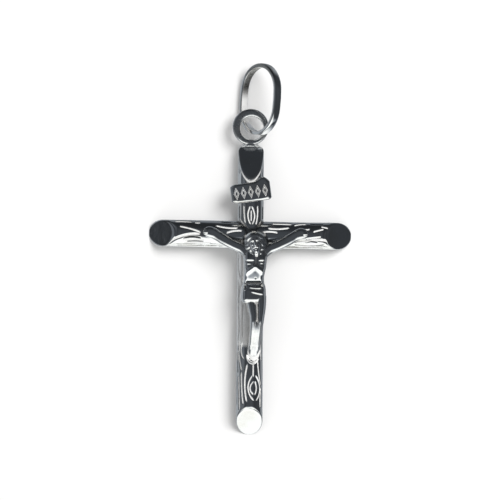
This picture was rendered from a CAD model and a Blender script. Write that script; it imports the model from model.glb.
import math

import bpy
import numpy as np
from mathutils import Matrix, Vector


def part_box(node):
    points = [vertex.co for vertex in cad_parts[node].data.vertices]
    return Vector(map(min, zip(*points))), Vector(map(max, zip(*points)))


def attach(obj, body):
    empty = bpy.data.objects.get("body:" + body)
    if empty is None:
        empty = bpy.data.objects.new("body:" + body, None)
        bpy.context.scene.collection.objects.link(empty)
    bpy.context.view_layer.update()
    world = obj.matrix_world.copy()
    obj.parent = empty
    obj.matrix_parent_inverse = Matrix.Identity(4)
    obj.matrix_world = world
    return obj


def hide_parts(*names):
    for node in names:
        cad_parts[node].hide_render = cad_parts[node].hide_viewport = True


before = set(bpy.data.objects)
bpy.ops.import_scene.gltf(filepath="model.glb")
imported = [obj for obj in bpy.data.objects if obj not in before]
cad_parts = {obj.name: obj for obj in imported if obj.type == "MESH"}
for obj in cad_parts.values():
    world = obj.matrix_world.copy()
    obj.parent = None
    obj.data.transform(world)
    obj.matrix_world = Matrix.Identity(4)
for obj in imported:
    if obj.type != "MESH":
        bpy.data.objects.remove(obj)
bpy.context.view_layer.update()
mm = 0.001  # shapes are worked out in millimetres and put into the scene in metres
print("frame loaded")

# The crossing is where the middle lines of the two rods meet, seen from the front.
# Its height along the pendant follows from the eyelet's top edge.
pendant = {
    "uprightLen": 30.15,
    "uprightR": 1.42,
    "uprightTopR": 1.36,
    "uprightSide": 0.05,
    "uprightLean": 0.4,
    "beamLen": 21.2,
    "beamR": 1.42,
    "beamDrop": 9.19,
    "beamTilt": 1.15,
    "eyeletD": 3.78,
    "neckLen": 0.18,
    "topRound": 0.55,
    "uneven": 0.03,
}
uprightFront = pendant["uprightR"] + pendant["uprightTopR"]
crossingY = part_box("cross")[1].y / mm - pendant["beamDrop"] - pendant["neckLen"] - pendant["eyeletD"]


# Shared shapes

# Catmull-Rom: a cubic through each pair of rows, whose slopes come from the rows before and after
def throughRows(rows, count):
    rows = np.asarray(rows, float)
    t = np.linspace(0, len(rows) - 1, count)
    k = np.minimum(t.astype(int), len(rows) - 2)
    f = (t - k)[:, None]
    a, b, c, d = (rows[np.clip(k + o, 0, len(rows) - 1)] for o in (-1, 0, 1, 2))
    return b + 0.5 * f * (c - a + f * (2 * a - 5 * b + 4 * c - d + f * (3 * b - a - 3 * c + d)))


# Rises from 0 to 1 between two values, flat at both ends
def easeBetween(low, high, x):
    t = np.clip((x - low) / (high - low), 0, 1)
    return t * t * (3 - 2 * t)


# The smaller of two values, with the corner between them rounded over a width
def softMin(a, b, width):
    h = np.clip(0.5 + (b - a) / (2 * width), 0, 1)
    return b + (a - b) * h - width * h * (1 - h)


# Power of a sine or cosine that keeps its sign, which squares a round section
def squared(c, power):
    return np.sign(c) * np.abs(c) ** power


# Uneven ground: a sum of waves in fixed, seeded directions
def ripple(x, y, size, seed, waves=6):
    rng = np.random.default_rng(seed)
    turn, phase, pitch = rng.uniform(0, 2 * np.pi, (3, waves))
    total = 0
    for k in range(waves):
        scale = 2 * np.pi / (size * (0.7 + 0.1 * pitch[k]))
        total = total + np.sin((x * np.cos(turn[k]) + y * np.sin(turn[k])) * scale + phase[k])
    return total / waves


# Moves points by a turn about the vertical and a shift
def placed(points, degrees, shift):
    c, s = math.cos(math.radians(degrees)), math.sin(math.radians(degrees))
    turned = points @ np.array([[c, s, 0], [-s, c, 0], [0, 0, 1]])
    return turned + np.asarray(shift, float)


# Quads of a grid whose columns close on themselves. The steps from row to row are one fewer than
# the rows in a tube, and as many in a ring, whose last row is followed by the first. Point
# (row, column) is number row * columns + column.
def gridQuads(rows, columns, steps):
    i, j = np.meshgrid(np.arange(steps), np.arange(columns), indexing="ij")
    n, k = (i + 1) % rows, (j + 1) % columns
    quads = np.stack([i * columns + j, n * columns + j, n * columns + k, i * columns + k], -1)
    return quads.reshape(-1, 4)


# Closed skin over a grid of rings, with a fan at each end to the ring's middle; the two middles
# are the last points
def tubeSkin(grid):
    rows, columns = grid.shape[:2]
    points = np.vstack([grid.reshape(-1, 3), grid[0].mean(0), grid[-1].mean(0)])
    j = np.arange(columns)
    k = (j + 1) % columns
    middle, lastRow = np.full(columns, rows * columns), (rows - 1) * columns
    first = np.stack([middle, j, k], -1)
    last = np.stack([middle + 1, lastRow + k, lastRow + j], -1)
    return points, [gridQuads(rows, columns, rows - 1), np.vstack([first, last])]


# Closed ring of sections, each closed on itself
def ringSkin(grid):
    rows, columns = grid.shape[:2]
    return grid.reshape(-1, 3), [gridQuads(rows, columns, rows)]


# Faces turned outward. The enclosed volume tells which way they look: six times it is the sum of
# the triple products of the corners, over the triangles of each face's fan.
def turnedOut(points, faces):
    total = 0
    for f in faces:
        for n in range(1, f.shape[1] - 1):
            a, b, c = points[f[:, 0]], points[f[:, n]], points[f[:, n + 1]]
            total += np.einsum("ij,ij->i", a, np.cross(b, c)).sum()
    return faces if total > 0 else [f[:, ::-1] for f in faces]


def meshFrom(name, points, faces, scale=1.0):
    mesh = bpy.data.meshes.new(name)
    corners = np.concatenate([f.ravel() for f in faces])
    sizes = np.concatenate([np.full(len(f), f.shape[1]) for f in faces])
    mesh.vertices.add(len(points))
    mesh.vertices.foreach_set("co", (points * scale).ravel())
    mesh.loops.add(len(corners))
    mesh.loops.foreach_set("vertex_index", corners)
    mesh.polygons.add(len(sizes))
    mesh.polygons.foreach_set("loop_start", np.concatenate([[0], np.cumsum(sizes)[:-1]]))
    mesh.polygons.foreach_set("use_smooth", np.ones(len(sizes), bool))
    mesh.update(calc_edges=True)
    mesh.validate()
    return mesh


def addObject(name, data):
    added = bpy.data.objects.new(name, data)
    bpy.context.scene.collection.objects.link(added)
    return added


# A finished piece: its mesh in metres, its pale and dark places as attributes, and what it
# stands for
def makePiece(name, skin, material, node, recess, crease):
    points, faces = skin
    mesh = meshFrom(name, points, turnedOut(points, faces), mm)
    for mark, values in (("recess", recess), ("crease", crease)):
        layer = mesh.attributes.new(mark, "FLOAT", "POINT")
        layer.data.foreach_set("value", np.asarray(values, np.float32).ravel())
    mesh.materials.append(material)
    piece = addObject(name, mesh)
    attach(piece, "root")
    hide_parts(node)
    print(name, len(mesh.vertices), "points")
    return piece


# Tools that add nodes to one tree: a node with its settings and inputs, a value or another
# node's output put into an input, arithmetic of two values, a range of values brought onto
# another, and a mix of two colours by a share
def nodeTools(tree):
    def node(kind, **values):
        made = tree.nodes.new(kind)
        for key, value in values.items():
            if hasattr(made, key):
                setattr(made, key, value)
            else:
                made.inputs[key].default_value = value
        return made

    def feed(entry, value):
        if isinstance(value, (int, float)):
            entry.default_value = value
        elif isinstance(value, tuple):
            entry.default_value = (*value, 1)
        else:
            tree.links.new(value, entry)

    def math2(kind, a, b=0.0):
        made = node("ShaderNodeMath", operation=kind)
        feed(made.inputs[0], a)
        feed(made.inputs[1], b)
        return made.outputs[0]

    def ranged(value, low, high, toLow, toHigh, manner="LINEAR"):
        ends = {"From Min": low, "From Max": high, "To Min": toLow, "To Max": toHigh}
        made = node("ShaderNodeMapRange", interpolation_type=manner, **ends)
        feed(made.inputs["Value"], value)
        return made.outputs["Result"]

    def blended(share, a, b):
        made = node("ShaderNodeMix", data_type="RGBA")
        feed(made.inputs["Factor"], share)
        feed(made.inputs[6], a)  # 6 and 7 are the two colours of such a node
        feed(made.inputs[7], b)
        return made.outputs[2]

    return node, feed, math2, ranged, blended


# Silver

silverLook = {
    "bright": (0.90, 0.895, 0.885),  # polished metal
    "warm": (0.83, 0.81, 0.77),  # faint tarnish in broad clouds
    "frosted": (0.93, 0.93, 0.92),  # cast skin that the polishing wheel doesn't reach
    "patina": (0.085, 0.075, 0.06),  # dark film in the deepest corners
    "polish": 0.07,
    "frostRough": 0.48,
    "matte": 1.0,  # how much the frosted places scatter light as a pale powder does
    # Heights in micrometres: slow swells, the wheel's lines, specks, and grain in frosted places
    "swell": 8.0,
    "wheel": 0.10,
    "speck": 0.35,
    "grain": 3.0,
}


# Polished silver. The attribute recess, 0 to 1, turns it matte and pale as cast metal is, and
# crease, 0 to 1, brings the dark film. Clouds of noise vary the colour and the gloss, stretched
# noise is the wheel's fine lines, and small noise the cast metal's grain.
def silver(name, cloudSize, lineTurn, waviness=1.0, **changes):
    look = dict(silverLook, **changes)
    material = bpy.data.materials.new(name)
    material.use_nodes = True
    node, feed, math2, ranged, blended = nodeTools(material.node_tree)
    shader = material.node_tree.nodes["Principled BSDF"].inputs
    feed(shader["IOR"], 1.45)

    def noise(vector, size, detail, rough=0.5):
        made = node("ShaderNodeTexNoise", Scale=1 / (size * mm), Detail=detail, Roughness=rough)
        feed(made.inputs["Vector"], vector)
        return made.outputs["Fac"]

    place = node("ShaderNodeTexCoord").outputs["Object"]
    lines = node("ShaderNodeMapping", Rotation=(0, 0, math.radians(lineTurn)), Scale=(0.06, 1, 1))
    feed(lines.inputs["Vector"], place)

    clouds = noise(place, size=cloudSize, detail=3)
    specks = noise(place, size=0.16, detail=4, rough=0.6)
    grain = noise(place, size=0.05, detail=2)
    wheel = noise(lines.outputs["Vector"], size=0.035, detail=2)
    swell = noise(place, size=0.9, detail=2)

    recess = node("ShaderNodeAttribute", attribute_name="recess").outputs["Fac"]
    crease = node("ShaderNodeAttribute", attribute_name="crease").outputs["Fac"]
    worn = math2("MULTIPLY", recess, ranged(specks, 0.3, 0.6, 0.75, 1.0))
    dark = math2("MULTIPLY", crease, ranged(specks, 0.35, 0.65, 0.6, 1.0))
    frost = math2("MAXIMUM", worn, dark)
    colour = blended(ranged(clouds, 0.42, 0.68, 0, 1), look["bright"], look["warm"])
    colour = blended(worn, colour, look["frosted"])
    colour = blended(dark, colour, look["patina"])
    gloss = ranged(clouds, 0.3, 0.7, look["polish"] * 0.75, look["polish"] * 1.35)
    gloss = math2("ADD", gloss, math2("MULTIPLY", frost, look["frostRough"] - look["polish"]))
    feed(shader["Metallic"], math2("SUBTRACT", 1.0, math2("MULTIPLY", worn, look["matte"])))
    feed(shader["Base Color"], colour)
    feed(shader["Roughness"], gloss)

    height = math2("MULTIPLY", swell, look["swell"] * waviness)
    height = math2("ADD", height, math2("MULTIPLY", wheel, look["wheel"]))
    height = math2("ADD", height, math2("MULTIPLY", specks, look["speck"] * waviness))
    height = math2("ADD", height, math2("MULTIPLY", math2("MULTIPLY", grain, frost), look["grain"]))
    bump = node("ShaderNodeBump", Strength=1.0, Distance=0.001 * mm)  # a micrometre for each 1
    feed(bump.inputs["Height"], height)
    feed(shader["Normal"], bump.outputs["Normal"])
    return material


uprightSilver = silver("uprightSilver", cloudSize=2.6, lineTurn=90)
beamSilver = silver("beamSilver", cloudSize=2.4, lineTurn=0)
eyeletSilver = silver("eyeletSilver", cloudSize=1.4, lineTurn=35, waviness=1.6, polish=0.24)
solderSilver = silver("solderSilver", cloudSize=0.9, lineTurn=60, waviness=2.0,
                      bright=(0.93, 0.925, 0.91), polish=0.26)
figureSilver = silver("figureSilver", cloudSize=1.6, lineTurn=75, waviness=0.8, polish=0.09)
plaqueSilver = silver("plaqueSilver", cloudSize=1.5, lineTurn=8, polish=0.1)
headSilver = silver("headSilver", cloudSize=1.1, lineTurn=75, waviness=0.8, polish=0.17)
ringSilver = silver("ringSilver", cloudSize=2.2, lineTurn=100, waviness=0.7, polish=0.055)
print("silver mixed")


# Rods

# Carved lines of the upright: where they start and end above the crossing, their angle round
# from the front at the start, middle and end, their width, their depth, and whether they keep
# the pale cast skin (0) or the dark film (1).
uprightLines = [
    [  3.00,   0.95,   1, -12,   4, 0.085, 0.10, 0],
    [  3.00,   0.95,   1,  19,   4, 0.085, 0.10, 0],
    [  2.55,   1.35,   3,   3,   3, 0.075, 0.07, 0],
    [  3.10,   1.10, -32, -31, -24, 0.085, 0.10, 0],
    [  3.10,   0.90,  33,  34,  23, 0.080, 0.10, 0],
    [  3.10,   1.60, -60, -64, -58, 0.090, 0.10, 1],
    [  3.00,   1.50,  68,  72,  68, 0.090, 0.10, 1],
    [  1.75,   0.50, -66, -36,  -8, 0.120, 0.12, 0],
    [  1.45,   0.50,  60,  40,  18, 0.120, 0.12, 0],
    [ -1.90,  -4.70, -62, -68, -46, 0.060, 0.12, 1],
    [ -2.10,  -5.20, -36, -33, -40, 0.080, 0.08, 0],
    [ -4.60,  -7.40, -72, -66, -70, 0.060, 0.12, 1],
    [ -4.90, -10.60, -50, -61, -52, 0.055, 0.10, 1],
    [ -7.20, -11.40, -70, -57, -66, 0.060, 0.12, 1],
    [ -7.00, -11.00, -30, -37, -34, 0.055, 0.09, 1],
    [-11.20, -13.10, -29, -43, -24, 0.085, 0.11, 0],
    [-11.10, -12.30, -52, -54, -56, 0.110, 0.12, 0],
    [-12.10, -14.30, -63, -52, -38, 0.090, 0.12, 0],
    [-12.20, -14.60, -76, -68, -62, 0.070, 0.10, 1],
    [-14.60, -18.50, -59, -54, -50, 0.085, 0.11, 0],
    [-14.00, -18.20, -76, -74, -72, 0.060, 0.08, 1],
    [ -9.50, -13.40,  62,  57,  64, 0.070, 0.08, 0],
    [-13.30, -14.95,  17,  17,  17, 0.075, 0.11, 0],
    [-14.60, -17.55,  18,  -6,  25, 0.080, 0.11, 0],
    [-14.60, -17.55,  20,  54,  25, 0.080, 0.11, 0],
    [-15.30, -16.85,  22,   3,  22, 0.075, 0.10, 0],
    [-15.30, -16.85,  22,  33,  22, 0.075, 0.10, 0],
    [-13.40, -17.75,  -7, -22,  -9, 0.095, 0.12, 0],
    [-14.20, -17.95, -40, -38, -28, 0.085, 0.11, 0],
    [-13.10, -15.90,  39,  47,  63, 0.080, 0.11, 0],
    [-15.90, -18.20,  62,  56,  58, 0.080, 0.09, 0],
    [  8.30,   6.20, -58, -62, -60, 0.070, 0.06, 1],
    [  8.00,   5.90,  62,  66,  62, 0.070, 0.06, 1],
    [ -3.20,  -8.60,  58,  66,  60, 0.070, 0.07, 1],
]
# Carved lines of the beam, left to right, with angles counted upward from the front
beamLines = [
    [ -7.50,  -5.00,  33,  21,   1, 0.090, 0.11, 0],
    [ -7.95,  -6.00,  62,  62,  60, 0.070, 0.07, 0],
    [ -5.80,  -5.20,  56,  54,  56, 0.080, 0.07, 0],
    [ -8.60,  -5.00, -48,  -9,  -4, 0.125, 0.10, 0],
    [ -7.05,  -5.05, -24, -13, -21, 0.075, 0.12, 1],
    [ -7.20,  -4.60, -30, -28, -29, 0.160, 0.03, 0],
    [ -6.70,  -4.70, -38, -34, -37, 0.050, 0.10, 1],
    [ -7.00,  -3.90, -45, -43, -44, 0.120, 0.03, 0],
    [ -7.95,  -4.60, -57, -54, -57, 0.060, 0.12, 1],
    [ -7.50,  -4.70, -66, -66, -67, 0.080, 0.03, 0],
    [ -8.80,  -7.40, -72, -68, -78, 0.110, 0.15, 1],
    [ -7.30,  -5.60, -74, -72, -75, 0.060, 0.10, 1],
    [ -7.90,  -2.40, -67, -69, -67, 0.170, 0.06, 1],
    [ -4.95,  -3.10, -74, -66, -73, 0.130, 0.17, 1],
    [ -4.30,  -3.00, -48, -50, -56, 0.055, 0.10, 1],
    [ -3.70,  -1.15,  42,  29,  30, 0.100, 0.11, 0],
    [ -2.55,  -0.75,   2,  14,  15, 0.090, 0.10, 0],
    [ -3.20,  -1.10,  66,  62,  66, 0.080, 0.07, 1],
    [  2.20,   4.45,  58,  57,  56, 0.095, 0.10, 0],
    [  1.75,   4.20,  31,  28,  36, 0.105, 0.11, 0],
    [  1.10,   3.00,   9,  14,   8, 0.095, 0.10, 0],
    [  4.55,   5.90,  47,  57,  59, 0.085, 0.10, 0],
    [  5.10,   6.30,  35,  27,  31, 0.090, 0.10, 0],
    [  6.20,   7.70,  60,  56,  58, 0.060, 0.08, 1],
    [  6.55,   7.75,  16,  24,  32, 0.095, 0.11, 0],
    [  7.40,   8.20,  44,  40,  34, 0.080, 0.07, 0],
    [  5.80,   7.50, -17, -11,  -6, 0.080, 0.08, 0],
    [  4.40,   5.90, -24, -30, -26, 0.150, 0.05, 0],
    [  4.50,   7.20, -34, -25, -30, 0.060, 0.11, 1],
    [  5.60,   8.60, -34, -19, -36, 0.125, 0.09, 0],
    [  4.40,   8.00, -43, -51, -39, 0.060, 0.12, 1],
    [  4.60,   8.30, -46, -56, -46, 0.100, 0.03, 0],
    [  5.20,   8.40, -70, -60, -50, 0.055, 0.12, 1],
    [  3.60,   5.20, -72, -63, -70, 0.120, 0.16, 1],
    [  6.00,   7.60, -76, -73, -76, 0.070, 0.12, 1],
    [  3.20,   8.00, -69, -70, -67, 0.170, 0.06, 1],
]
lineEnds = 0.13  # share of a line over which it fades in and out
# Patches that keep the pale cast skin: where they start and end along the rod, the two angles
# that they lie between, and how pale they are
uprightSkin = [
    [ -1.30, -11.90, -100,  4, 0.40],
    [-11.90, -13.40,  -85, -50, 0.30],
]
beamSkin = [
    [-8.30, -4.20, -95, -44, 0.15],
    [ 4.20,  8.60, -95, -46, 0.15],
]


# Lines in the same manner round the back of a rod, whose places a seeded draw gives
def backLines(count, low, high, seed):
    rng = np.random.default_rng(seed)
    start = np.linspace(low, high - 2.0, count) + rng.uniform(-0.5, 0.5, count)
    length = rng.uniform(1.4, 3.4, count)
    angle = 180 + np.resize([-62, 8, -30, 46, -84, 26, -8, 74], count) + rng.uniform(-7, 7, count)
    sway, drift = rng.uniform(-9, 9, (2, count))
    end = np.minimum(start + length, high)
    return np.stack([start, end, angle, angle + sway, angle + drift,
                     rng.uniform(0.07, 0.11, count), rng.uniform(0.06, 0.12, count),
                     rng.integers(0, 2, count)], -1).tolist()


# Depth of the carved lines at each place: a bell across each line, whose middle follows a
# parabola through its three angles. Where two lines meet, the deeper one counts. Also returns
# how much of the pale skin and of the dark film each place keeps.
def carved(along, angle, radius, lines):
    depth = np.zeros(np.broadcast(along, angle).shape)
    pale, dark = depth.copy(), depth.copy()
    for start, end, first, middle, last, width, deep, film in lines:
        t = (along - start) / (end - start)
        centre = first + t * (4 * middle - 3 * first - last) + t * t * 2 * (first + last - 2 * middle)
        off = (angle - centre + 180) % 360 - 180
        fade = easeBetween(0, lineEnds, t) * easeBetween(0, lineEnds, 1 - t)
        bell = fade * np.exp(-(np.radians(off) * radius / width) ** 2)
        depth = np.maximum(depth, deep * bell)
        pale = np.maximum(pale, (1 - film) * bell)
        dark = np.maximum(dark, film * bell)
    return depth, easeBetween(0.3, 0.75, pale), 0.8 * easeBetween(0.25, 0.9, dark)


# Paleness of the skin patches at each place, fading out over half a millimetre and some degrees
def castSkin(along, angle, patches):
    pale = np.zeros(np.broadcast(along, angle).shape)
    for start, end, low, high, strength in patches:
        inside = easeBetween(0, 0.5, along - min(start, end)) * easeBetween(0, 0.5, max(start, end) - along)
        inside = inside * easeBetween(0, 7, angle - low) * easeBetween(0, 7, high - angle)
        pale = np.maximum(pale, strength * inside)
    return pale


# Distances from one end of a rod to the other, closer together near both ends
def rodStations(length, endLen, fine, coarse):
    return np.concatenate([
        np.arange(0, endLen, fine),
        np.linspace(endLen, length - endLen, int((length - 2 * endLen) / coarse)),
        length - np.arange(0, endLen, fine)[::-1],
    ])


# Rod lying along its own axis under a roof, the polished facet that cuts it. Each section is
# the part of a circle under the roof's height, drawn by rays from a middle that sinks with the
# roof: the ray's length is the soft minimum of its way to the circle and to the roof.
def rodSections(along, angle, radius, roof, softness, carvedDepth):
    a = np.radians(angle)[None, :]
    radius, roof, softness = radius[:, None], roof[:, None], softness[:, None]
    middle = (np.minimum(roof, radius) - radius) / 2
    up = np.cos(a)
    toCircle = -middle * up + np.sqrt(radius ** 2 - (middle * np.sin(a)) ** 2)
    toRoof = np.where(up > 0.02, (roof - middle) / np.maximum(up, 0.02), 1e3)
    ray = softMin(toCircle, np.minimum(toRoof, 1e3), softness)
    onFacet = easeBetween(-0.05, 0.12, toCircle - toRoof)
    ray = ray - carvedDepth * (1 - onFacet)
    x, z = ray * np.sin(a), middle + ray * up
    return np.stack([x, np.broadcast_to(along[:, None], ray.shape), z], -1), onFacet


columnCount = 168
frontShare = 0.35  # how much closer together the columns lie on the front than on the back
columnTurns = 2 * np.pi * np.arange(columnCount) / columnCount
columnAngles = np.degrees(columnTurns - frontShare * np.sin(columnTurns))
columnAngles = (columnAngles + 180) % 360 - 180

facets = {
    "slope": 45,
    "topSlope": 21.5,
    "tipEdge": 0.04,
    "crisp": 0.06,  # how softly a facet meets the rod at its low end
    "beamSweep": 0.62,  # and at its high end, where the beam's facets run out in a spoon's tail
    "footCrisp": 0.16,
    "footSweep": 0.34,
    "topSweep": 0.04,
    # The groove round the low end of the top facet: how deep and wide it is, how far it lies
    # beside the facet's edge, and between which distances from the top it fades in
    "rimDeep": 0.08,
    "rimWide": 0.06,
    "rimBeside": 0.08,
    "rimStart": (2.0, 2.9),
    "rimEnd": 5,
}


# How close a point is to another rod's skin, as the dark film in the corner between them
def cornerFilm(points, axisPoint, axisWay, radius, reach):
    off = points - np.asarray(axisPoint, float)
    way = np.asarray(axisWay, float)
    off = off - (off @ way)[..., None] * way
    return np.exp(-((np.linalg.norm(off, axis=-1) - radius) / reach) ** 2)


def beamWay():
    t = math.radians(-pendant["beamTilt"])
    return [math.cos(t), math.sin(t), 0]


def uprightWay():
    t = math.radians(-pendant["uprightLean"])
    return [-math.sin(t), math.cos(t), 0]


# The uneven, carved surface of a rod in its own frame, and how much of the pale skin and of the
# dark film it keeps. A rim, 0 to 1 at each place, is one more groove.
def rodSurface(along, rodR, radius, roof, softness, lines, skin, seed, rim=0.0):
    place, angle = along[:, None], columnAngles[None, :]
    depth, pale, dark = carved(place, angle, rodR, lines)
    depth, pale = np.maximum(depth, facets["rimDeep"] * rim), np.maximum(pale, rim)
    pale = np.maximum(pale, castSkin(place, angle, skin))
    swells = ripple(place * 0.3, np.radians(angle) * 1.4, size=1.5, seed=seed)
    uneven = pendant["uneven"] * (1 + swells)
    grid, onFacet = rodSections(along, columnAngles, radius, roof, softness, depth + uneven)
    return grid, pale * (1 - onFacet), dark * (1 - onFacet)


# A rod as a piece, with dark film in the corner where it meets the other rod
def makeRod(name, grid, material, pale, dark, otherPlace, otherWay, otherR):
    crease = np.maximum(cornerFilm(grid, otherPlace, otherWay, otherR, reach=0.09), dark)
    makePiece(name, tubeSkin(grid), material, "cross", padded(pale), padded(crease))


# From the upright's own frame to its place, leaning on the crossing
def onUpright(points):
    return placed(points, -pendant["uprightLean"], [pendant["uprightSide"], crossingY, 0])


# Upright: its distance from the top end runs along -Y, and its angle to the right is positive
def makeUpright():
    p, f = pendant, facets
    s = rodStations(p["uprightLen"], endLen=3.8, fine=0.042, coarse=0.07)
    t = s / p["uprightLen"]
    radius = p["uprightTopR"] + (p["uprightR"] - p["uprightTopR"]) * t
    # The top end is rounded off towards the solder
    radius = radius * (1 - 0.3 * (1 - np.sqrt(1 - np.clip(1 - s / p["topRound"], 0, 1) ** 2)))
    topRoof = s * math.tan(math.radians(f["topSlope"]))
    footRoof = f["tipEdge"] - radius + (p["uprightLen"] - s) * math.tan(math.radians(f["slope"]))
    roof = np.minimum(topRoof, footRoof)
    high = np.clip((footRoof + radius) / (2 * radius), 0, 1)
    footSoft = f["footCrisp"] + (f["footSweep"] - f["footCrisp"]) * high ** 2
    soft = np.where(s < p["uprightLen"] / 2, f["topSweep"], footSoft)
    lines = uprightLines + backLines(count=26, low=-19.5, high=8.6, seed=11)
    rim = topFacetRim(s[:, None], columnAngles[None, :], radius[:, None], topRoof[:, None])
    grid, pale, dark = rodSurface(p["beamDrop"] - s, p["uprightR"], radius, roof, soft, lines,
                                  uprightSkin, seed=3, rim=rim)
    grid = onUpright(grid + [0, 0, p["uprightR"]])
    makeRod("uprightLog", grid, uprightSilver, pale, dark,
            [0, crossingY, p["beamR"]], beamWay(), p["beamR"])


# Groove round the low end of the top facet: a bell across the line where the roof meets the rod
def topFacetRim(s, angle, radius, roof):
    f = facets
    near = s < f["rimEnd"]
    gap = (roof / np.maximum(np.cos(np.radians(angle)), 0.02) - radius) * near
    bell = np.exp(-((gap - f["rimBeside"]) / f["rimWide"]) ** 2)
    return bell * easeBetween(*f["rimStart"], s) * near


# A mark for each grid point, and 0 for the two end middles
def padded(values):
    return np.concatenate([values.ravel(), [0, 0]])


# Beam: its distance from the left tip runs along +X, and its angle upward is positive
def makeBeam():
    p, f = pendant, facets
    s = rodStations(p["beamLen"], endLen=4.4, fine=0.045, coarse=0.07)
    radius = np.full(len(s), p["beamR"])
    toTip = np.minimum(s, p["beamLen"] - s)
    roof = f["tipEdge"] - radius + toTip * math.tan(math.radians(f["slope"]))
    high = np.clip((roof + radius) / (2 * radius), 0, 1)
    soft = f["crisp"] + (f["beamSweep"] - f["crisp"]) * high ** 2
    lines = beamLines + backLines(count=18, low=-8.6, high=8.6, seed=23)
    grid, pale, dark = rodSurface(s - p["beamLen"] / 2, p["beamR"], radius, roof, soft, lines,
                                  beamSkin, seed=5)
    grid = grid[..., [1, 0, 2]] + [0, 0, p["beamR"]]
    grid = placed(grid, -p["beamTilt"], [0, crossingY, 0])
    makeRod("beamLog", grid, beamSilver, pale, dark,
            [p["uprightSide"], crossingY, p["uprightR"]], uprightWay(), p["uprightR"])


makeUpright()
makeBeam()


# Eyelet and its solder

eyelet = {
    "lift": 0.4,
    "side": 0.06,
    "holeD": 2.4,
    "holeShift": 0.14,
    "thick": 0.66,
    "squareness": 0.72,  # 1 is a round section, less is squarer
    "uneven": 0.012,
    "holePale": 0.5,
}


# Flat ring whose hole is a little off its middle: at each angle a squared oval section spans
# from the hole's circle to the outer one
def makeEyelet():
    p, e = pendant, eyelet
    turn = np.linspace(0, 2 * np.pi, 220, endpoint=False)[:, None]
    section = np.linspace(0, 2 * np.pi, 48, endpoint=False)[None, :]
    way = np.stack([np.cos(turn), np.sin(turn)], -1)
    outer = way * p["eyeletD"] / 2
    inner = way * e["holeD"] / 2 + [e["holeShift"], -e["holeShift"]]
    flat = (outer + inner) / 2 + (outer - inner) / 2 * squared(np.cos(section), e["squareness"])[..., None]
    rise = e["thick"] / 2 * squared(np.sin(section), e["squareness"])
    rise = rise + e["uneven"] * ripple(flat[..., 0], flat[..., 1], size=1.1, seed=8) * np.sign(rise)
    x = flat[..., 0] - e["side"]
    y = flat[..., 1] + p["beamDrop"] + p["neckLen"] + p["eyeletD"] / 2
    z = p["uprightR"] + e["lift"] + np.broadcast_to(rise, flat.shape[:2])
    grid = onUpright(np.stack([x, y, z], -1))
    inHole = np.broadcast_to(easeBetween(-0.75, -0.95, np.cos(section)), x.shape)
    makePiece("eyeletRing", ringSkin(grid), eyeletSilver, "cross",
              e["holePale"] * inHole, np.zeros(x.shape))


# Solder between the upright's top and the eyelet, with the columns along, half width, half
# thickness and height, from inside the upright to inside the eyelet
neckRows = [
    [-0.20, 0.80, 0.30, 1.02],
    [-0.08, 0.72, 0.46, 1.36],
    [ 0.02, 0.56, 0.46, 1.62],
    [ 0.12, 0.46, 0.37, 1.77],
    [ 0.26, 0.44, 0.32, 1.82],
    [ 0.40, 0.52, 0.31, 1.83],
    [ 0.56, 0.68, 0.30, 1.83],
    [ 0.72, 0.82, 0.28, 1.82],
]
filletRows = [
    [-0.14, 1.20, 0.30, 0.95],
    [-0.02, 1.14, 0.40, 1.22],
    [ 0.10, 0.92, 0.38, 1.38],
    [ 0.24, 0.76, 0.33, 1.50],
    [ 0.40, 0.80, 0.28, 1.60],
    [ 0.58, 0.94, 0.22, 1.66],
]


def makeSolder(name, table, squareness, matte):
    rows = throughRows(table, count=44)
    a = np.linspace(0, 2 * np.pi, 64, endpoint=False)[None, :]
    x = rows[:, 1:2] * squared(np.cos(a), squareness) - eyelet["side"]
    z = rows[:, 3:4] + rows[:, 2:3] * squared(np.sin(a), squareness)
    y = np.broadcast_to(pendant["beamDrop"] + rows[:, 0:1], x.shape)
    grid = np.stack([x, y, z], -1)
    grid = grid + 0.01 * ripple(x, y + z, size=0.5, seed=4)[..., None] * [1, 0, 1]
    skin = tubeSkin(onUpright(grid))
    even = np.ones(len(skin[0]))
    makePiece(name, skin, solderSilver, "cross", matte * even, 0 * even)


makeEyelet()
makeSolder("eyeletNeck", neckRows, squareness=0.5, matte=0.0)
makeSolder("solderFillet", filletRows, squareness=0.9, matte=0.2)


# Jump ring

ring = {
    "length": 7.54,
    "width": 5.96,
    "sideR": 12,
    "bandT": 0.46,
    "bandW": 0.87,
    "tilt": 50.8,
    "lean": 4,
    "squareness": 0.5,
    "uneven": 0.008,
    "insidePale": 0.15,  # how pale its inner face is, and how much more so low on the left
    "leftPale": 0.7,
    "insideDark": 0.95,  # film on the rest of the inner face's left, and on the upper end
    "endDark": 0.62,
}


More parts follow.
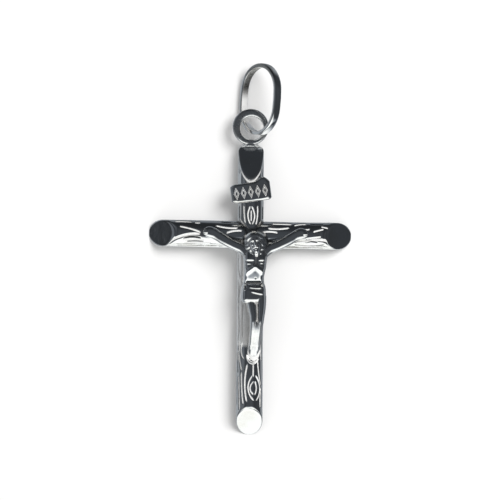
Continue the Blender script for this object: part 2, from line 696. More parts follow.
# Flat band along a four-arc oval. The oval's outer point with normal angle n is an arc's middle
# plus its radius along n: the long sides' arcs near n = 0 and 180 degrees, the ends' elsewhere.
def makeRing():
    r = ring
    sideOff = r["sideR"] - r["width"] / 2
    endR = (r["sideR"] ** 2 - (r["length"] / 2) ** 2 - sideOff ** 2) / (2 * r["sideR"] - r["length"])
    endOff = r["length"] / 2 - endR
    join = math.atan2(endOff, sideOff)
    ends = [-join, join, math.pi - join, math.pi + join, 2 * math.pi - join]
    counts = [44, 120, 44, 120]  # sections of each arc, from the right side round
    n = np.concatenate([np.linspace(*arc, endpoint=False) for arc in zip(ends, ends[1:], counts)])[:, None]
    onSide = np.abs(np.abs((n + np.pi / 2) % np.pi - np.pi / 2)) < join - 1e-9
    middle = np.concatenate([np.where(onSide, -sideOff * np.sign(np.cos(n)), 0),
                             np.where(onSide, 0, endOff * np.sign(np.sin(n)))], -1)
    outer = middle + np.where(onSide, r["sideR"], endR) * np.concatenate([np.cos(n), np.sin(n)], -1)
    a = np.linspace(0, 2 * np.pi, 56, endpoint=False)[None, :]
    deep = r["bandT"] / 2 * (squared(np.cos(a), r["squareness"]) - 1)
    across = r["bandW"] / 2 * squared(np.sin(a), r["squareness"])
    flat = outer[:, None, :] + deep[..., None] * np.stack([np.cos(n), np.sin(n)], -1)
    flat = flat + r["uneven"] * ripple(flat[..., :1], flat[..., 1:], size=1.6, seed=15)
    grid = np.stack([flat[..., 0], flat[..., 1], np.broadcast_to(across, flat.shape[:2])], -1)
    t = math.radians(-r["tilt"])
    turned = np.stack([grid[..., 0] * math.cos(t) + grid[..., 2] * math.sin(t), grid[..., 1],
                       grid[..., 2] * math.cos(t) - grid[..., 0] * math.sin(t)], -1)
    low, high = (np.array(c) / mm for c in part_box("jump_ring"))
    turned = placed(turned, -r["lean"], [0, 0, 0])
    spread = turned.reshape(-1, 3)
    turned = turned + (low + high) / 2 - (spread.min(0) + spread.max(0)) / 2
    # Its inner face is worn pale low on the left and dark above that, and old film is left on
    # its upper end
    inside = np.broadcast_to(easeBetween(-0.3, -0.9, np.cos(a)), grid.shape[:2])
    onLeft = easeBetween(0.35, 0.75, -np.cos(n)) * easeBetween(0.12, -0.02, np.sin(n))
    onLeft = onLeft * easeBetween(-0.75, -0.5, np.sin(n))
    film = easeBetween(0.40, 0.72, np.sin(n)) * easeBetween(-0.2, 0.5, np.sin(a))
    darkInside = inside * easeBetween(-0.02, 0.12, np.sin(n)) * easeBetween(0.0, 0.3, -np.cos(n))
    makePiece("jumpRing", ringSkin(turned), ringSilver, "jump_ring",
              inside * (r["insidePale"] + r["leftPale"] * onLeft),
              np.maximum(r["endDark"] * film, r["insideDark"] * darkInside))


makeRing()


# Title plaque

plaque = {
    "width": 4.2,
    "height": 2.05,
    "thick": 0.5,
    "depth": 0.85,
    "drop": 4.76,
    "tilt": 7.5,
    "crestAt": 0.84,
    "crestWidth": 0.13,
    "crestHeight": 0.19,
    "leftShare": 0.95,
    "rightShare": 1.03,
    "corner": 0.3,
    "edgeRound": 0.24,
    "lozenges": 5,
    "rowMargin": 0.6,
    "lozengeWide": 0.75,
    "lozengeHigh": 0.62,
    "hollow": 0.5,
    "lozengeRise": 0.09,
    "seat": 0.05,
    # How far the front lies under the full thickness in its middle, how much higher it is at its
    # edges, and how far its two ends bend down
    "sunk": 0.02,
    "dish": 0.03,
    "leftCurl": 0.10,
    "rightCurl": 0.05,
    "uneven": 0.014,
    # Rings of points over the front, round its edge and over the back
    "frontRings": 57,
    "edgeRings": 9,
    "backRings": 19,
}


# Edge of a square with round corners, from -1 to 1 both ways, as evenly spaced points
def roundSquare(corner, perSide, perCorner):
    quarter = np.linspace(0, np.pi / 2, perCorner, endpoint=False)
    side = np.linspace(-1 + corner, 1 - corner, perSide, endpoint=False)
    right = np.stack([np.ones(perSide), side], -1)
    bend = np.stack([1 - corner + corner * np.cos(quarter), 1 - corner + corner * np.sin(quarter)], -1)
    part = np.vstack([right, bend])
    quarters = [part]
    for _ in range(3):
        quarters.append(quarters[-1] @ np.array([[0, 1], [-1, 0]]))
    return np.vstack(quarters)


# Height of the row of raised lozenges: the metal stands up where the sum of both distances from
# a lozenge's middle, as shares of its half axes, lies between the hollow and 1
def lozengeRelief(x, y):
    p = plaque
    pitch = p["width"] / (p["lozenges"] + p["rowMargin"])
    column = np.clip(np.round(x / pitch + (p["lozenges"] - 1) / 2), 0, p["lozenges"] - 1)
    off = x - (column - (p["lozenges"] - 1) / 2) * pitch
    both = np.abs(off) / (p["lozengeWide"] * pitch / 2) + np.abs(y) / (p["lozengeHigh"] * p["height"] / 2)
    return easeBetween(1.06, 0.88, both) * easeBetween(p["hollow"] - 0.06, p["hollow"] + 0.1, both)


# Plaque of closed rings, each a share of the outline, from the middle of its front out to the
# rounded edge, down its side and back to the middle of its back. The upper edge swells to a
# crest near the right end.
def makePlaque():
    p = plaque
    edge = roundSquare(p["corner"], perSide=88, perCorner=16) * [1, -1]
    fronts, backs, r, deep = p["frontRings"], p["backRings"], p["edgeRound"], p["depth"]
    bend = np.linspace(0, np.pi / 2, p["edgeRings"] + 1)[1:]
    share = np.concatenate([np.linspace(0.012, 1, fronts + 1)[:-1], np.ones(len(bend) + 2),
                            np.linspace(1, 0.02, backs + 1)[1:]])
    inset = np.concatenate([np.full(fronts, r), r * (1 - np.sin(bend)), [0, 0], np.full(backs, 0.05)])
    fall = np.concatenate([np.zeros(fronts), r * (1 - np.cos(bend)), [0.5, deep], np.full(backs, deep)])
    half = np.array([p["width"], p["height"]]) / 2
    flat = edge[None] * share[:, None, None] * (1 - inset[:, None, None] / half)
    u = (flat[..., 0] + 1) / 2
    tall = p["leftShare"] + (p["rightShare"] - p["leftShare"]) * u
    crest = 2 * p["crestHeight"] * np.exp(-((u - p["crestAt"]) / p["crestWidth"]) ** 2)
    crest = crest * np.maximum(flat[..., 1], 0)
    x = flat[..., 0] * half[0]
    y = (flat[..., 1] * tall + crest) * half[1]
    onFront = np.arange(len(share)) < fronts
    relief = lozengeRelief(x, y) * onFront[:, None]
    dish = p["dish"] * (flat ** 2).sum(-1) * onFront[:, None]
    curl = -p["leftCurl"] * easeBetween(0.16, 0, u) - p["rightCurl"] * easeBetween(0.9, 1, u)
    uneven = p["uneven"] * ripple(x, y, size=1.2, seed=21) * onFront[:, None]
    top = uprightFront + p["seat"] + p["thick"]
    z = top - p["sunk"] - fall[:, None] + p["lozengeRise"] * relief + dish + curl + uneven
    grid = placed(np.stack([x, y, z], -1), p["tilt"], [0, 0, 0])
    lean = math.radians(pendant["uprightLean"])
    up = pendant["beamDrop"] - p["drop"]
    grid = grid + [pendant["uprightSide"] + math.sin(lean) * up, crossingY + math.cos(lean) * up, 0]
    slopes = relief * (1 - relief) * 4
    recess = padded(np.clip(slopes * 0.9 + 0.25 * relief, 0, 1))
    makePiece("titlePlaque", tubeSkin(grid), plaqueSilver, "title_scroll", recess, 0 * recess)


makePlaque()


# Figure

figure = {
    "height": 13.65,
    "width": 2.2,
    "relief": 1.3,
    "side": 0.58,
    "headOver": 0.42,
    "handUp": 0.22,
    "armReach": 4.65,
    "armFall": 2.2,
    "shoulderHalf": 0.34,
    "headLean": 8,
    "backRise": -0.25,
    "backDepth": 0.32,
    "armDepth": 1.1,
    "armFullness": 0.68,
    "fingerD": 0.24,
    "bodyVoxel": 0.044,
    "headVoxel": 0.03,
    "wallsPale": 0.75,  # how pale its lower side walls are, and the shins
    "shinsPale": 0.06,
    "farDark": 0.75,  # how dark the film is on the walls that face right
    "seamDark": 0.5,  # and where the figure meets the rods
}

hair = {
    "crownAt": 0.040,  # places down the figure, as in the tables below
    "faceAt": 0.108,
    "faceHalf": (0.66, 0.86),  # of the oval on which no hair grows
    "strands": 17,  # waves round the crown, the fine ones and the broad ones
    "locks": 9,
    "rise": 0.035,
    "curls": 24,  # waves of the beard, and its height
    "curlRise": 0.015,
}

# Rings of the body: how far down and aside, half width and rise. The first is a share of the
# figure's height, the rise a share of its relief, and the others are shares of its width.
torsoRows = [
    [0.120,  0.02, 0.22, 0.62],
    [0.138,  0.02, 0.40, 0.80],
    [0.169,  0.00, 0.57, 0.92],
    [0.208, -0.02, 0.58, 0.99],
    [0.246, -0.03, 0.55, 1.01],
    [0.285, -0.04, 0.535, 1.02],
    [0.310, -0.05, 0.51, 1.00],
    [0.335, -0.07, 0.495, 0.94],
    [0.360, -0.09, 0.49, 0.85],
    [0.382, -0.10, 0.495, 0.74],
    [0.402, -0.10, 0.51, 0.58],
    [0.425, -0.10, 0.53, 0.52],
    [0.520, -0.08, 0.52, 0.62],
]
clothRows = [
    [0.404, -0.10, 0.48, 0.50],
    [0.416, -0.10, 0.54, 0.78],
    [0.446, -0.10, 0.58, 0.95],
    [0.492, -0.11, 0.60, 1.04],
    [0.520, -0.12, 0.585, 1.06],
    [0.540, -0.14, 0.52, 0.98],
    [0.556, -0.15, 0.40, 0.80],
]
leftLegRows = [
    [0.500, -0.25, 0.28, 0.82],
    [0.554, -0.19, 0.27, 0.97],
    [0.615, -0.14, 0.24, 1.11],
    [0.655, -0.11, 0.215, 1.155],
    [0.690, -0.11, 0.205, 1.145],
    [0.725, -0.12, 0.19, 1.08],
    [0.760, -0.13, 0.18, 0.975],
    [0.790, -0.14, 0.17, 0.86],
    [0.825, -0.16, 0.165, 0.72],
    [0.880, -0.19, 0.15, 0.51],
]
rightLegRows = [
    [0.500,  0.22, 0.29, 1.00],
    [0.554,  0.26, 0.245, 1.05],
    [0.615,  0.26, 0.21, 1.10],
    [0.655,  0.24, 0.19, 1.125],
    [0.690,  0.22, 0.18, 1.11],
    [0.725,  0.19, 0.17, 1.045],
    [0.760,  0.16, 0.16, 0.945],
    [0.790,  0.14, 0.15, 0.835],
    [0.825,  0.11, 0.15, 0.70],
    [0.880,  0.08, 0.14, 0.50],
]
# What joins the lower legs into one broad front
shinRows = [
    [0.696,  0.04, 0.10, 1.05],
    [0.712,  0.035, 0.16, 1.06],
    [0.745,  0.02, 0.24, 0.99],
    [0.780,  0.00, 0.27, 0.87],
    [0.825, -0.02, 0.29, 0.69],
    [0.865, -0.05, 0.29, 0.53],
    [0.895, -0.07, 0.29, 0.41],
    [0.920, -0.08, 0.26, 0.31],
]
feetRows = [
    [0.830, -0.03, 0.20, 0.63],
    [0.860, -0.05, 0.28, 0.55],
    [0.885, -0.07, 0.30, 0.46],
    [0.915, -0.085, 0.315, 0.355],
    [0.945, -0.10, 0.30, 0.24],
    [0.972, -0.10, 0.24, 0.145],
    [0.988, -0.10, 0.17, 0.09],
    [0.999, -0.10, 0.06, 0.05],
]
headRows = [
    [0.004,  0.00, 0.14, 1.00],
    [0.018,  0.00, 0.29, 1.24],
    [0.042,  0.00, 0.385, 1.42],
    [0.072,  0.00, 0.415, 1.49],
    [0.105,  0.00, 0.40, 1.48],
    [0.135,  0.00, 0.35, 1.42],
    [0.162,  0.00, 0.28, 1.34],
    [0.188,  0.00, 0.22, 1.18],
    [0.203,  0.00, 0.12, 0.98],
]
hairRows = [
    [0.003,  0.00, 0.17, 1.03],
    [0.016,  0.00, 0.40, 1.28],
    [0.034,  0.00, 0.55, 1.42],
    [0.050,  0.00, 0.61, 1.43],
    [0.063,  0.00, 0.635, 1.36],
    [0.078,  0.00, 0.65, 1.25],
    [0.112,  0.00, 0.66, 1.18],
    [0.150,  0.00, 0.625, 1.08],
    [0.182,  0.00, 0.53, 1.00],
    [0.207,  0.00, 0.37, 0.88],
]
# Arm: how far out and down, half thickness and rise, as shares of the arm's reach and fall,
# the figure's width and its relief
armRows = [
    [0.00, 1.02, 0.34, 0.80],
    [0.08, 0.915, 0.30, 0.80],
    [0.19, 0.735, 0.26, 0.78],
    [0.33, 0.61, 0.25, 0.74],
    [0.50, 0.42, 0.285, 0.69],
    [0.64, 0.25, 0.30, 0.62],
    [0.74, 0.12, 0.30, 0.56],
    [0.82, 0.05, 0.29, 0.52],
    [0.90, 0.02, 0.27, 0.46],
    [0.965, 0.015, 0.21, 0.40],
]
# Fingers: how far out and down their roots and tips are, and the rises of both
fingerRows = [
    [0.90, -0.07, 0.975, -0.12, 0.38, 0.30],
    [0.92, -0.02, 0.99, -0.04, 0.40, 0.32],
    [0.93,  0.03, 1.00,  0.04, 0.40, 0.32],
    [0.90,  0.08, 0.985,  0.12, 0.37, 0.29],
    [0.84, -0.08, 0.89, -0.17, 0.36, 0.28],
]
# The cloth's loose end at the left hip, down from the knot that it hangs from, and which of its
# points rods join. Its columns, and those of the base, are down, aside, rise and radius.
clothEndRows = [
    [0.425, -0.46, 0.52, 0.20],
    [0.470, -0.52, 0.42, 0.19],
    [0.522, -0.60, 0.24, 0.15],
    [0.530, -0.46, 0.46, 0.15],
    [0.470, -0.42, 0.70, 0.17],
]
clothEndPairs = [(0, 1), (1, 2), (2, 3), (3, 4), (4, 0), (1, 3)]
# Rim of the small base under the feet
baseRows = [
    [0.950, -0.42, 0.02, 0.05],
    [0.968, -0.40, 0.10, 0.10],
    [0.992, -0.34, 0.14, 0.14],
    [1.010, -0.24, 0.15, 0.15],
    [1.016, -0.11, 0.15, 0.14],
    [1.006,  0.03, 0.13, 0.11],
    [0.985,  0.13, 0.06, 0.06],
]
# Relief: how far down and aside as above, then in millimetres the half length, the width above
# and below the ridge's line, the line's turn in degrees, how far its ends bend up, and the height
bodyRelief = [
    [0.222, -0.310, 0.50, 0.42, 0.10,  -2,  0.02,  0.14],  # chest
    [0.224,  0.350, 0.42, 0.38, 0.10,   4,  0.02,  0.13],
    [0.230,  0.020, 0.42, 0.12, 0.12,  90,  0.00, -0.05],
    [0.252, -0.350, 0.42, 0.13, 0.10,  -4,  0.02,  0.08],  # ribs
    [0.248,  0.340, 0.38, 0.12, 0.09,   6,  0.02,  0.07],
    [0.274, -0.370, 0.34, 0.10, 0.08,  12,  0.00,  0.05],
    [0.272,  0.350, 0.32, 0.10, 0.08, -14,  0.00,  0.05],
    [0.302, -0.270, 0.80, 0.26, 0.22,  36, -0.03,  0.18],
    [0.300,  0.210, 0.80, 0.26, 0.22, -37, -0.03,  0.18],
    [0.388, -0.080, 1.05, 0.45, 0.22,   0,  0.38,  0.06],  # belly
    [0.366,  0.000, 0.06, 0.07, 0.06,   0,  0.00, -0.10],
    [0.438,  0.020, 0.90, 0.20, 0.11,  -2,  0.10,  0.13],  # cloth
    [0.478,  0.130, 0.80, 0.20, 0.11, -11,  0.05,  0.13],
    [0.450, -0.550, 0.16, 0.20, 0.16,   5,  0.02,  0.13],  # knot
    [0.690, -0.110, 0.24, 0.30, 0.30,   0,  0.03,  0.03],  # knees
    [0.690,  0.200, 0.20, 0.26, 0.28,   0,  0.03,  0.03],
    [0.930, -0.080, 0.62, 0.05, 0.05,  82,  0.03, -0.025],  # feet
    [0.952, -0.200, 0.11, 0.03, 0.03,  72,  0.00, -0.012],
    [0.956, -0.150, 0.11, 0.03, 0.03,  80,  0.00, -0.012],
    [0.957, -0.095, 0.11, 0.03, 0.03,  88,  0.00, -0.012],
    [0.954, -0.040, 0.11, 0.03, 0.03,  98,  0.00, -0.012],
]
faceRelief = [
    [0.074, -0.130, 0.21, 0.10, 0.07,   8, -0.03,  0.07],  # brows
    [0.074,  0.130, 0.21, 0.10, 0.07,  -8, -0.03,  0.07],
    [0.087, -0.130, 0.17, 0.09, 0.09,   0,  0.00, -0.12],  # sockets and lids
    [0.087,  0.130, 0.17, 0.09, 0.09,   0,  0.00, -0.12],
    [0.087, -0.132, 0.12, 0.07, 0.05,   0,  0.03,  0.08],
    [0.087,  0.132, 0.12, 0.07, 0.05,   0,  0.03,  0.08],
    [0.098,  0.000, 0.24, 0.08, 0.08,  90,  0.00,  0.14],  # nose
    [0.117,  0.000, 0.11, 0.12, 0.06,   0,  0.02,  0.10],
    [0.106, -0.200, 0.16, 0.12, 0.12,  20,  0.00,  0.05],  # cheeks
    [0.106,  0.200, 0.16, 0.12, 0.12, -20,  0.00,  0.05],
    [0.129, -0.075, 0.17, 0.06, 0.05,  18,  0.00,  0.06],  # moustache
    [0.129,  0.075, 0.17, 0.06, 0.05, -18,  0.00,  0.06],
    [0.138,  0.000, 0.15, 0.04, 0.04,   0,  0.02, -0.06],  # lips
    [0.143,  0.000, 0.12, 0.04, 0.05,   0,  0.02,  0.05],
    [0.165,  0.000, 0.26, 0.26, 0.14,   0,  0.08,  0.10],  # beard
]


# Place of a point of the figure, in the crossing's frame, from shares of height and width
def figureAt(down, side):
    return figure["side"] + side * figure["width"], figure["headOver"] - down * figure["height"]


def front(rise):
    return uprightFront + rise * figure["relief"]


# Closed skin through a table's rings, each fuller than an ellipse by a power, on a shallow back.
# A power of 1 would be an ellipse, and less is fuller.
def bodyPart(rows, fullness=0.84, steps=70, columns=72):
    row = throughRows(rows, steps)
    a = np.linspace(0, 2 * np.pi, columns, endpoint=False)[None, :]
    middleX, y = figureAt(row[:, 0:1], row[:, 1:2])
    side, up = squared(np.cos(a), fullness), squared(np.sin(a), fullness)
    middle = front(figure["backRise"])
    x = middleX + row[:, 2:3] * figure["width"] * side
    toFront, toBack = front(row[:, 3:4]) - middle, figure["backDepth"] * figure["relief"]
    z = middle + np.where(up > 0, toFront * up, toBack * up)
    return tubeSkin(np.stack([x, np.broadcast_to(y, x.shape), z], -1))


def armAt(out, down, hand):
    aside = hand * (figure["shoulderHalf"] * figure["width"] + out * figure["armReach"])
    fall = down * figure["armFall"] + aside * math.tan(math.radians(pendant["beamTilt"]))
    return figure["side"] + aside, figure["handUp"] - fall


def armPart(hand):
    row = throughRows(armRows, count=60)
    a = np.linspace(0, 2 * np.pi, 48, endpoint=False)[None, :]
    x, y = armAt(row[:, 0:1], row[:, 1:2], hand)
    half = row[:, 2:3] * figure["width"]
    y = y + half * squared(np.cos(a), figure["armFullness"])
    z = front(row[:, 3:4]) - half * figure["armDepth"] * (1 - squared(np.sin(a), figure["armFullness"]))
    return tubeSkin(np.stack([np.broadcast_to(x, y.shape), y, z], -1))


# Round rod between points, closed by half balls, its radius going evenly from one to the other
def rodPart(start, end, startR, endR):
    start, end = np.asarray(start, float), np.asarray(end, float)
    way = (end - start) / np.linalg.norm(end - start)
    side = np.cross(way, [0, 0, 1.0])
    side = side / np.linalg.norm(side)
    over = np.cross(side, way)
    bend = np.linspace(0.1, np.pi / 2, 6)
    at = np.concatenate([-startR * np.cos(bend), np.linalg.norm(end - start) + endR * np.cos(bend[::-1])])
    r = np.concatenate([startR * np.sin(bend), endR * np.sin(bend[::-1])])
    a = np.linspace(0, 2 * np.pi, 20, endpoint=False)
    grid = start + at[:, None, None] * way
    grid = grid + r[:, None, None] * (np.cos(a)[None, :, None] * side + np.sin(a)[None, :, None] * over)
    return tubeSkin(grid)


def handPart(hand):
    parts = []
    for rootOut, rootDown, tipOut, tipDown, rootRise, tipRise in fingerRows:
        root = (*armAt(rootOut, rootDown, hand), front(rootRise))
        tip = (*armAt(tipOut, tipDown, hand), front(tipRise))
        parts.append(rodPart(root, tip, figure["fingerD"] / 2, 0.4 * figure["fingerD"]))
    return parts


# Rods between pairs of rows of a table of places and radii
def rodParts(rows, pairs):
    x, y = figureAt(rows[:, 0], rows[:, 1])
    places = np.stack([x, y, front(rows[:, 2])], -1)
    return [rodPart(places[i], places[j], rows[i, 3], rows[j, 3]) for i, j in pairs]


def basePart():
    rows = throughRows(baseRows, count=14) - [0, 0, 0.07, 0]
    return rodParts(rows, [(k, k + 1) for k in range(len(rows) - 1)])


# One skin round overlapping closed skins, as even quads
def merged(parts, voxel):
    start, points, faces = 0, [], []
    for partPoints, partFaces in parts:
        points.append(partPoints)
        faces += [f + start for f in turnedOut(partPoints, partFaces)]
        start += len(partPoints)
    mesh = meshFrom("rough", np.vstack(points), faces)
    rough = addObject("rough", mesh)
    wrap = rough.modifiers.new("wrap", "REMESH")
    wrap.mode, wrap.voxel_size = "VOXEL", voxel
    even = rough.evaluated_get(bpy.context.evaluated_depsgraph_get()).to_mesh()
    out = np.empty(len(even.vertices) * 3)
    corners = np.empty(len(even.loops), int)
    even.vertices.foreach_get("co", out)
    even.loops.foreach_get("vertex_index", corners)
    bpy.data.objects.remove(rough)
    bpy.data.meshes.remove(mesh)
    return out.reshape(-1, 3), corners.reshape(-1, 4)


# Each point moves by a share of the way to the average of its neighbours
def averaged(points, quads, share):
    a, b = quads.ravel(), np.roll(quads, -1, 1).ravel()
    count = len(points)
    degree = np.bincount(a, minlength=count) + np.bincount(b, minlength=count)
    total = [np.bincount(a, points[b, k], count) + np.bincount(b, points[a, k], count)
             for k in range(points.shape[1])]
    return points + share * (np.stack(total, -1) / degree[:, None] - points)


# Smoothing that keeps the size: a step inward, then a slightly longer step outward
def smoothed(points, quads, rounds):
    for _ in range(rounds):
        points = averaged(averaged(points, quads, 0.55), quads, -0.57)
    return points


def normals(points, quads):
    a, b, c, d = (points[quads[:, k]] for k in range(4))
    face = np.cross(c - a, d - b)
    total = [np.bincount(quads.ravel(), np.repeat(face[:, k], 4), len(points)) for k in range(3)]
    total = np.stack(total, -1)
    return total / np.maximum(np.linalg.norm(total, axis=1, keepdims=True), 1e-12)


# Height that a relief table adds: along its line each ridge is flat with soft ends, and across
# it is a bell, wider on one side than on the other
def reliefHeight(table, points):
    height = np.zeros(len(points))
    for down, side, half, above, below, turn, bend, rise in table:
        x, y = figureAt(down, side)
        c, s = math.cos(math.radians(turn)), math.sin(math.radians(turn))
        u = (points[:, 0] - x) * c + (points[:, 1] - y) * s
        v = (points[:, 1] - y) * c - (points[:, 0] - x) * s - bend * (u / half) ** 2
        height += rise * np.exp(-(u / half) ** 4 - (v / np.where(v > 0, above, below)) ** 2)
    return height


# Hollow places: where the points around lie above a point, along its normal
def hollows(points, quads, rounds, full):
    level = points
    for _ in range(rounds):
        level = averaged(level, quads, 0.6)
    return np.clip(((level - points) * normals(points, quads)).sum(1) / full, 0, 1)


# Hair: strands run from the crown over the dome and down beside the face. Their height is a
# wave across the strands, bent by slower waves along them. Nothing grows on the face.
def hairHeight(points):
    x, y = figureAt(hair["crownAt"], 0)
    fromX, fromY = points[:, 0] - x, points[:, 1] - y
    halfX, halfY = hair["faceHalf"]
    fromFace = np.hypot(fromX / halfX, (points[:, 1] - figureAt(hair["faceAt"], 0)[1]) / halfY)
    onHair = easeBetween(0.85, 1.15, fromFace)
    turn = np.arctan2(fromX, -fromY)
    far = np.hypot(fromX, fromY)
    bends = 0.16 * np.sin(far * 5.2 + 2 * np.sin(turn))
    strands = 0.8 * np.sin(hair["strands"] * (turn + bends))
    strands = strands + 0.4 * np.sin(hair["locks"] * (turn + bends) + 1.3)
    beard = easeBetween(figureAt(0.146, 0)[1] + 0.05, figureAt(0.150, 0)[1] - 0.1, points[:, 1])
    onBeard = beard * (1 - onHair)
    curls = np.sin(hair["curls"] * (points[:, 0] - figure["side"]) + 2 * np.sin(points[:, 1] * 7))
    offTop = easeBetween(0.75, 1.35, far)  # the crown of the head is worn smooth
    height = onHair * hair["rise"] * strands * (0.08 + 0.92 * offTop) * easeBetween(0.05, 0.5, far)
    return height + onBeard * hair["curlRise"] * curls


# Where the wheel doesn't reach, the figure keeps its pale cast skin: on its lower side walls
# toward the left and the foot, in the valley between the legs and on the base under the feet.
# Higher up the hollows go dark, and so do the walls that face right and the seams to the rods.
def makeFigurePiece(name, parts, voxel, heightOf, material, lean=0.0):
    points, quads = merged(parts, voxel)
    points = smoothed(points, quads, rounds=5)
    onFront = easeBetween(-0.05, 0.20, normals(points, quads)[:, 2])
    points = points + (onFront * heightOf(points))[:, None] * [0, 0, 1]
    points = smoothed(points, quads, rounds=1)

    def lower(start, full):
        return easeBetween(figureAt(start, 0)[1], figureAt(full, 0)[1], points[:, 1])

    onLegs = lower(0.530, 0.570)
    recess = hollows(points, quads, rounds=10, full=0.03) * (0.15 + 0.85 * onLegs)
    crease = hollows(points, quads, rounds=26, full=0.10) * (0.85 - 0.6 * onLegs)
    facing = normals(points, quads)
    walls = easeBetween(0.50, 0.25, facing[:, 2]) * easeBetween(0.5, 0.1, facing[:, 1])
    walls = walls * easeBetween(0.25, -0.15, facing[:, 0] + 0.6 * np.minimum(facing[:, 1], 0))
    walls = walls * easeBetween(front(0.62), front(0.35), points[:, 2])
    onBase = easeBetween(front(0.20), front(0.14), points[:, 2]) * lower(0.90, 0.93)
    shins = figure["shinsPale"] * lower(0.66, 0.80)
    recess = np.maximum(recess, np.maximum(np.maximum(figure["wallsPale"] * walls, shins), onBase))
    farSide = easeBetween(0.55, 0.25, facing[:, 2]) * easeBetween(0.2, 0.6, facing[:, 0])
    crease = np.maximum(crease, figure["farDark"] * farSide)
    if lean:
        x, y = figureAt(0.12, 0)
        points = placed(points - [x, y, 0], lean, [x, y, 0])
    points = points + [0, crossingY, 0]
    p, share = pendant, figure["seamDark"]
    upright = [p["uprightSide"], crossingY, p["uprightR"]]
    film = cornerFilm(points, upright, uprightWay(), p["uprightR"], reach=0.05)
    beam = cornerFilm(points, [0, crossingY, p["beamR"]], beamWay(), p["beamR"], reach=0.05)
    crease = np.clip((crease + share * film + share * beam) * (1 - onBase), 0, 1)
    makePiece(name, (points, [quads]), material, "corpus", recess, crease)


fullness = [(torsoRows, 0.46), (clothRows, 0.5), (feetRows, 0.8),
            (leftLegRows, 0.72), (rightLegRows, 0.72), (shinRows, 0.5)]
bodyParts = [bodyPart(rows, power) for rows, power in fullness]
for hand in (-1, 1):
    bodyParts += [armPart(hand)] + handPart(hand)
bodyParts += rodParts(np.array(clothEndRows), clothEndPairs) + basePart()
makeFigurePiece("figureBody", bodyParts, figure["bodyVoxel"],
                lambda p: reliefHeight(bodyRelief, p), figureSilver)
makeFigurePiece("figureHead", [bodyPart(headRows), bodyPart(hairRows)], figure["headVoxel"],
                lambda p: reliefHeight(faceRelief, p) + hairHeight(p), headSilver, figure["headLean"])


# Camera and light

stage = {
    "backdrop": (0.93, 0.93, 0.93),
    "floorColour": (0.90, 0.898, 0.895),
    "floorHalf": 60,
    "floorRough": 0.9,
    "floorShine": 0.1,
    "mottleScale": 90,
    "mottleShade": 0.985,
    # Light of the room by direction: how strong, and its tint
    "dark": 0.036,
    "rearDark": 0.85,  # what is left of that towards the head end
    "rightDark": 0.45,  # how much more there is on the right
    "overhead": 0.035,  # added straight above
    "overheadLow": (0.62, 0.96),
    "softbox": 1.2,  # beyond the foot end, and the table in front of it
    "softboxHalf": 45,  # half angles
    "frontHalf": 24,
    # Between these heights each fades in
    "softboxTop": (0.95, 0.70),
    "softboxLow": (-0.12, 0.02),
    "frontTop": (0.02, -0.12),
    "frontTable": 1.02,
    "leftPanel": 0.12,
    "leftTop": (0.80, 0.55),
    "leftLow": (0.06, 0.22),
    "leftTable": 0.38,
    "leftTableTop": (0.0, -0.2),
    "rearTable": 0.22,
    "rearTableTop": (-0.2, -0.6),
    "rightTable": 0.30,
    "rightTableTop": (-0.1, -0.6),
    # How far round they fade in
    "leftSide": (0.45, 0.85),
    "tableSide": (0.3, 0.8),
    "rearSide": (-0.5, -0.9),
    "cloudiness": 0.5,  # how uneven the dark part of the room is
    "coolTint": (0.76, 0.86, 1.0),  # of the dim parts
    "whiteTint": (0.965, 1.0, 1.0),  # and of the bright ones
    "scattered": (0.58, 0.578, 0.575),  # light from all sides that the matte surfaces get
    "keyPower": 2.0,
    "keySize": 0.26,
    "keyPlace": (0.22, 0.17, 0.42),
    "cameraHeight": 0.6,
    "sensorWide": 36,
    "frameWide": 0.0525,
    "frameMiddle": (0.0, -0.0001),
}


# Floor: plain pale board with a faint mottle
def floorMaterial():
    material = bpy.data.materials.new("paleBoard")
    material.use_nodes = True
    node, feed, *_, blended = nodeTools(material.node_tree)
    shader = material.node_tree.nodes["Principled BSDF"].inputs
    feed(shader["Roughness"], stage["floorRough"])
    feed(shader["Specular IOR Level"], stage["floorShine"])
    mottle = node("ShaderNodeTexNoise", Scale=stage["mottleScale"])
    feed(mottle.inputs["Vector"], node("ShaderNodeTexCoord").outputs["Object"])
    pale = stage["floorColour"]
    shaded = tuple(stage["mottleShade"] * c for c in pale)
    feed(shader["Base Color"], blended(mottle.outputs["Fac"], pale, shaded))
    return material


def makeFloor():
    s = stage["floorHalf"]
    points = np.array([[-s, -s, 0], [s, -s, 0], [s, s, 0], [-s, s, 0.0]])
    mesh = meshFrom("floor", points, [np.array([[0, 1, 2, 3]])], mm)
    mesh.materials.append(floorMaterial())
    floor = addObject("floor", mesh)
    floor.visible_glossy = False  # the room's light stands for the table in the metal's reflections


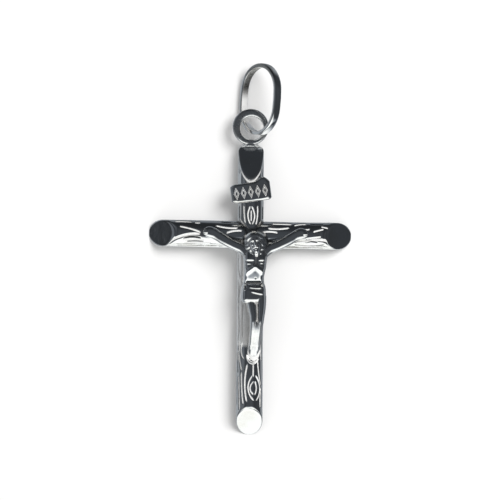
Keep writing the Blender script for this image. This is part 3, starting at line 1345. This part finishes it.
# Room: near dark all round but for a big softbox beyond the foot end, a dim panel on the left,
# and the white table, which is darker on the left, where the shadow falls. The strength by
# direction is a sum of patches, each the product of its edges in turn and in height. The
# camera itself sees a plain backdrop.
def makeRoom():
    world = bpy.data.worlds.new("room")
    bpy.context.scene.world = world
    world.use_nodes = True
    world.node_tree.nodes.clear()
    node, feed, math2, ranged, blended = nodeTools(world.node_tree)

    def eased(value, start, full, high=1.0):
        if start > full:
            return ranged(value, full, start, high, 0.0, "SMOOTHSTEP")
        return ranged(value, start, full, 0.0, high, "SMOOTHSTEP")

    s = stage
    place = node("ShaderNodeTexCoord").outputs["Generated"]
    parts = node("ShaderNodeSeparateXYZ")
    feed(parts.inputs["Vector"], place)
    x, y, z = parts.outputs

    def patch(across, top, low=None):
        inHeight = eased(z, *s[top])
        if low:
            inHeight = math2("MULTIPLY", inHeight, eased(z, *s[low]))
        return math2("MULTIPLY", across, inHeight)

    level = math2("SQRT", math2("ADD", math2("MULTIPLY", x, x), math2("MULTIPLY", y, y)))
    level = math2("MAXIMUM", level, 0.001)
    toRight = math2("DIVIDE", x, level)
    toFoot = math2("DIVIDE", math2("MULTIPLY", y, -1.0), level)
    toLeft = math2("MULTIPLY", toRight, -1.0)
    softbox, table = (math.cos(math.radians(s[half])) for half in ("softboxHalf", "frontHalf"))
    patches = [
        patch(eased(toFoot, softbox - 0.15, softbox + 0.15, s["softbox"]), "softboxTop", "softboxLow"),
        patch(eased(toFoot, table - 0.1, table + 0.07, s["frontTable"]), "frontTop"),
        patch(eased(toLeft, *s["leftSide"], s["leftPanel"]), "leftTop", "leftLow"),
        patch(eased(toLeft, *s["tableSide"], s["leftTable"]), "leftTableTop"),
        patch(eased(toRight, *s["tableSide"], s["rightTable"]), "rightTableTop"),
        patch(eased(toFoot, *s["rearSide"], s["rearTable"]), "rearTableTop"),
        eased(z, *s["overheadLow"], s["overhead"]),
    ]
    clouds = node("ShaderNodeTexNoise", Scale=2.2)
    feed(clouds.inputs["Vector"], place)
    strength = math2("MULTIPLY", clouds.outputs["Fac"], s["cloudiness"] * 2)
    strength = math2("MULTIPLY", math2("ADD", strength, 1 - s["cloudiness"]), s["dark"])
    rear = math2("SUBTRACT", 1.0, eased(y, 0.15, 0.6, 1 - s["rearDark"]))
    strength = math2("MULTIPLY", strength, rear)
    strength = math2("MULTIPLY", strength, math2("ADD", 1.0, eased(x, 0.0, 0.8, s["rightDark"])))
    for light in patches:
        strength = math2("ADD", light, strength)
    studio = node("ShaderNodeBackground")
    feed(studio.inputs["Color"], blended(strength, s["coolTint"], s["whiteTint"]))
    feed(studio.inputs["Strength"], strength)
    backdrop = node("ShaderNodeBackground", Color=(*s["backdrop"], 1))
    scattered = node("ShaderNodeBackground", Color=(*s["scattered"], 1))
    ray = node("ShaderNodeLightPath")
    seen = studio
    for path, light in (("Is Diffuse Ray", scattered), ("Is Camera Ray", backdrop)):
        mix = node("ShaderNodeMixShader")
        feed(mix.inputs["Fac"], ray.outputs[path])
        feed(mix.inputs[1], seen.outputs[0])
        feed(mix.inputs[2], light.outputs[0])
        seen = mix
    feed(node("ShaderNodeOutputWorld").inputs["Surface"], seen.outputs[0])


# A square light whose own picture doesn't show in the polished metal
def makeKey():
    light = bpy.data.lights.new("keyLight", "AREA")
    light.size = stage["keySize"]
    light.energy = stage["keyPower"]
    key = addObject("keyLight", light)
    key.location = stage["keyPlace"]
    x, y, z = (-v for v in stage["keyPlace"])
    key.rotation_euler = (math.acos(-z / math.sqrt(x * x + y * y + z * z)), 0, math.atan2(y, x) - math.pi / 2)
    key.visible_glossy = False
    key.visible_camera = False


def makeCamera():
    lens = bpy.data.cameras.new("camera")
    lens.sensor_width = stage["sensorWide"]
    lens.lens = stage["sensorWide"] * stage["cameraHeight"] / stage["frameWide"]
    lens.clip_start, lens.clip_end = 0.01, 10
    camera = addObject("camera", lens)
    camera.location = (*stage["frameMiddle"], stage["cameraHeight"])
    bpy.context.scene.camera = camera
    bpy.context.scene.view_settings.view_transform = "Standard"


makeFloor()
makeRoom()
makeKey()
makeCamera()
print("lit")
